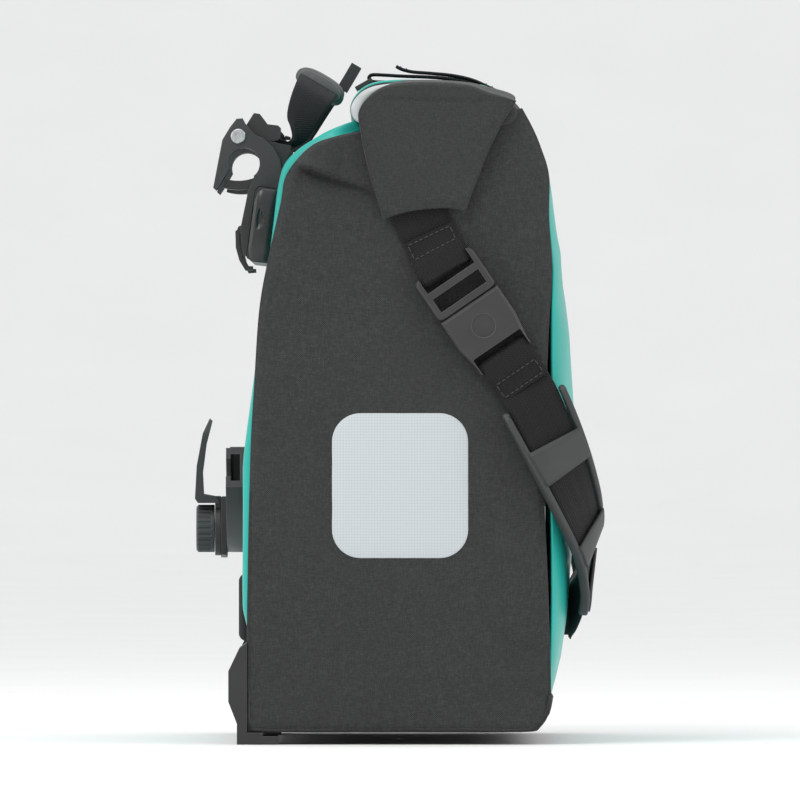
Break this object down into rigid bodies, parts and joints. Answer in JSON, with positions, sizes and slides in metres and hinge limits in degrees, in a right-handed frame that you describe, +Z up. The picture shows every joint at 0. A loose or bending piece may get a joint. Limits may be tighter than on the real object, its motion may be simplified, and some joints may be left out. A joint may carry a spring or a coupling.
{
  "type": "pannier bag",
  "caption": "Small roll-top bicycle pannier with side buckles, rail-mounted rack hooks with locking levers, a carrying handle and a swivelling lower hook.",
  "frame": {"origin": "centre of the bounding box in X and Y, at the height of the feet", "axes": "+Z up, -X towards the bicycle, +X out to the front panel, +Y along the rack; the bag is symmetric about the XZ plane"},
  "size_m": [0.1886, 0.2744, 0.3132],
  "materials": {
    "grey_fabric": "woven, coated inside",
    "teal_fabric": "smooth coated, semi-gloss",
    "reflective_patch": "retroreflective film",
    "board_plastic": "sheet",
    "black_plastic": "moulded",
    "gloss_black_plastic": "moulded, glossy",
    "hook_plastic": "moulded, fine grain",
    "knob_plastic": "moulded, ribbed",
    "buckle_plastic": "moulded",
    "frame_plastic": "moulded, bent",
    "steel": "plain",
    "black_rubber": "soft",
    "grip_rubber": "soft sleeve",
    "webbing": "flat woven"
  },
  "bodies": {
    "bag": {"bottom_panel": "grey_fabric", "bottom_edge_back": "grey_fabric", "bottom_edge_front": "grey_fabric", "back_panel": "teal_fabric", "front_panel": "teal_fabric", "side_panel_near": "grey_fabric", "side_panel_far": "grey_fabric", "back_board": "board_plastic", "roll_closure": "teal_fabric", "closure_stiffener": "board_plastic", "roll_end_near": "grey_fabric", "roll_end_far": "grey_fabric", "reflector_near": "reflective_patch", "reflector_far": "reflective_patch", "top_rail": "black_plastic", "rail_cap_near": "gloss_black_plastic", "rail_cap_far": "gloss_black_plastic", "rail_screws": "steel", "rail_nuts": "steel", "top_strap": "webbing", "top_buckle_hook": "buckle_plastic", "lower_rail": "black_plastic", "lower_rail_screws": "steel", "lower_rail_nuts": "steel", "spacer_pad_near": "black_rubber", "spacer_pad_far": "black_rubber", "corner_guard_near": "black_plastic", "corner_guard_far": "black_plastic", "guard_screws": "steel", "buckle_female_near": "buckle_plastic", "buckle_female_far": "buckle_plastic", "strap_frame_near": "frame_plastic", "strap_frame_far": "frame_plastic", "closing_strap_lower_near": "webbing", "closing_strap_lower_far": "webbing", "front_anchor": "black_plastic", "anchor_rivets": "steel"},
    "hook_near": {"hook_body_near": "hook_plastic", "pivot_rivet_near": "steel"},
    "lever_near": {"lock_lever_near": "black_plastic"},
    "latch_near": {"rail_latch_near": "black_plastic"},
    "buckle_near": {"buckle_male_near": "buckle_plastic", "closing_strap_upper_near": "webbing"},
    "hook_far": {"hook_body_far": "hook_plastic", "pivot_rivet_far": "steel"},
    "lever_far": {"lock_lever_far": "black_plastic"},
    "latch_far": {"rail_latch_far": "black_plastic"},
    "buckle_far": {"buckle_male_far": "buckle_plastic", "closing_strap_upper_far": "webbing"},
    "handle": {"handle_strap": "webbing", "handle_grip": "grip_rubber", "top_buckle_ring": "buckle_plastic"},
    "lower_carriage": {"lower_hook_carriage": "black_plastic", "lower_hook_bolt": "steel"},
    "lower_fin": {"lower_hook_fin": "hook_plastic"},
    "lower_knob": {"lower_hook_knob": "knob_plastic"}
  },
  "joints": [
    {"name": "hook_near_slide", "type": "slide", "parent": "bag", "child": "hook_near", "axis": [0, 1, 0], "range_m": [-0.012, 0.012]},
    {"name": "lock_lever_near_turn", "type": "hinge", "parent": "hook_near", "child": "lever_near", "pos_m": [-0.07345, -0.075, 0.2778], "axis": [0, -1, 0], "range_deg": [0, 38]},
    {"name": "rail_latch_near_turn", "type": "hinge", "parent": "hook_near", "child": "latch_near", "pos_m": [-0.07225, -0.075, 0.2353], "axis": [0, 1, 0], "range_deg": [0, 30]},
    {"name": "buckle_near_release", "type": "slide", "parent": "bag", "child": "buckle_near", "axis": [-0.565, 0, 0.8251], "range_m": [0, 0.018]},
    {"name": "hook_far_slide", "type": "slide", "parent": "bag", "child": "hook_far", "axis": [0, 1, 0], "range_m": [-0.012, 0.012]},
    {"name": "lock_lever_far_turn", "type": "hinge", "parent": "hook_far", "child": "lever_far", "pos_m": [-0.07345, 0.075, 0.2778], "axis": [0, -1, 0], "range_deg": [0, 38]},
    {"name": "rail_latch_far_turn", "type": "hinge", "parent": "hook_far", "child": "latch_far", "pos_m": [-0.07225, 0.075, 0.2353], "axis": [0, 1, 0], "range_deg": [0, 30]},
    {"name": "buckle_far_release", "type": "slide", "parent": "bag", "child": "buckle_far", "axis": [-0.565, 0, 0.8251], "range_m": [0, 0.018]},
    {"name": "handle_swing", "type": "hinge", "parent": "lever_near", "child": "handle", "pos_m": [-0.05815, -0.075, 0.2795], "axis": [0, -1, 0], "range_deg": [0, 60]},
    {"name": "lower_hook_travel", "type": "hinge", "parent": "bag", "child": "lower_carriage", "pos_m": [-0.07911, 0, 0.2475], "axis": [1, 0, 0], "range_deg": [-24, 24]},
    {"name": "lower_hook_swivel", "type": "hinge", "parent": "lower_carriage", "child": "lower_fin", "pos_m": [-0.08501, 0, 0.0975], "axis": [-1, 0, 0], "continuous": true},
    {"name": "lower_hook_knob_turn", "type": "hinge", "parent": "lower_carriage", "child": "lower_knob", "pos_m": [-0.08531, 0, 0.0975], "axis": [-1, 0, 0], "continuous": true}
  ],
  "couplings": [
    {"joint": "hook_far_slide", "follows": "hook_near_slide", "ratio": 1},
    {"joint": "lock_lever_far_turn", "follows": "lock_lever_near_turn", "ratio": 1}
  ]
}
